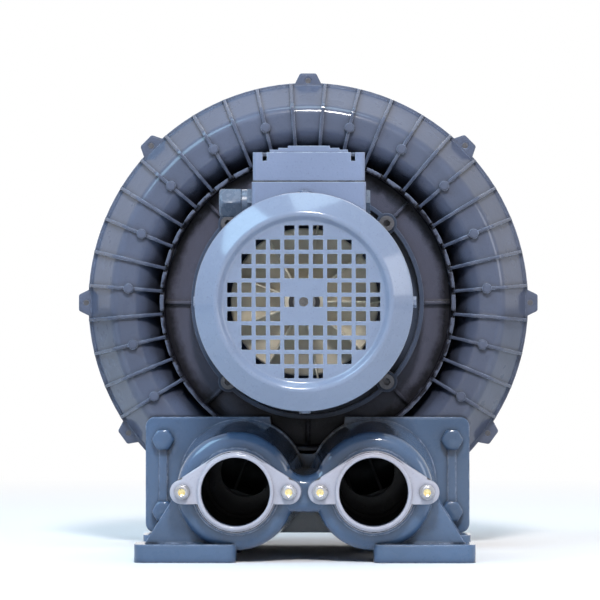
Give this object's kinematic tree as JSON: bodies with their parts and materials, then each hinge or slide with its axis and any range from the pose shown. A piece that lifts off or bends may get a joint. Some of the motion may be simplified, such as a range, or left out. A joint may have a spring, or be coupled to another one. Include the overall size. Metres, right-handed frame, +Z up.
{
  "type": "side channel blower",
  "caption": "Regenerative ring blower: ribbed ring casing, flange motor with finned frame, fan cowl and terminal box, on a twin-tube silencer base with oval port flanges.",
  "frame": {"origin": "centre of the foot bolt pattern, on the floor", "axes": "+Z up, -Y towards the motor fan and the ports, +X to the right seen from the fan end"},
  "size_m": [0.3986, 0.345, 0.4113],
  "materials": {
    "casing_paint": "satin slate blue-grey enamel over die-cast aluminium",
    "motor_paint": "semi-gloss blue-grey enamel over aluminium and sheet steel",
    "box_paint": "satin blue-grey enamel over die-cast aluminium",
    "flange_paint": "worn silvery grey enamel",
    "fan_plastic": "cream moulded plastic",
    "gland_plastic": "blue-grey moulded plastic",
    "board_plastic": "brown moulded resin",
    "aluminium": "as-cast and machined",
    "steel": "turned and ground",
    "lamination": "stacked electrical sheet",
    "zinc_steel": "yellow passivated zinc",
    "copper": "enamelled copper wire",
    "brass": "turned",
    "rubber": "matt",
    "gasket": "compressed fibre sheet",
    "foam": "open-cell absorbing foam"
  },
  "bodies": {
    "root": {"blanking_plug": "gland_plastic", "blower_cover": "casing_paint", "blower_housing": "casing_paint", "casing_gasket": "gasket", "casing_screws": "steel", "cowl_screws": "steel", "drive_bearing_outer_ring": "steel", "drive_end_shield": "motor_paint", "earth_screw": "brass", "fan_bearing_outer_ring": "steel", "fan_cowl": "motor_paint", "flange_screws": "steel", "gland_body": "gland_plastic", "gland_nut": "gland_plastic", "gland_seal": "rubber", "left_port_flange": "flange_paint", "left_port_gasket": "gasket", "left_silencer_liner": "foam", "left_silencer_tube": "steel", "lid_gasket": "rubber", "lid_screws": "steel", "plate_bolts": "casing_paint", "port_screws": "zinc_steel", "port_washers": "zinc_steel", "rear_end_shield": "motor_paint", "right_port_flange": "flange_paint", "right_port_gasket": "gasket", "right_silencer_liner": "foam", "right_silencer_tube": "steel", "shaft_seal": "rubber", "silencer_gasket": "gasket", "silencer_housing": "casing_paint", "stator_core": "lamination", "stator_frame": "motor_paint", "stator_windings": "copper", "terminal_board": "board_plastic", "terminal_box_base": "box_paint", "terminal_box_lid": "box_paint", "terminal_nuts": "brass", "terminal_studs": "brass", "tie_bolts": "steel", "wave_washer": "steel"},
    "rotor": {"shaft": "steel", "impeller": "aluminium", "impeller_key": "steel", "impeller_washer": "steel", "impeller_screw": "steel", "rotor_core": "lamination", "rotor_cage_rings": "aluminium", "drive_bearing_inner_ring": "steel", "fan_bearing_inner_ring": "steel", "cooling_fan": "fan_plastic", "fan_circlip": "steel"}
  },
  "joints": [
    {"name": "rotor_spin", "type": "hinge", "parent": "root", "child": "rotor", "pos_m": [0, 0, 0.212], "axis": [0, -1, 0], "continuous": true}
  ]
}
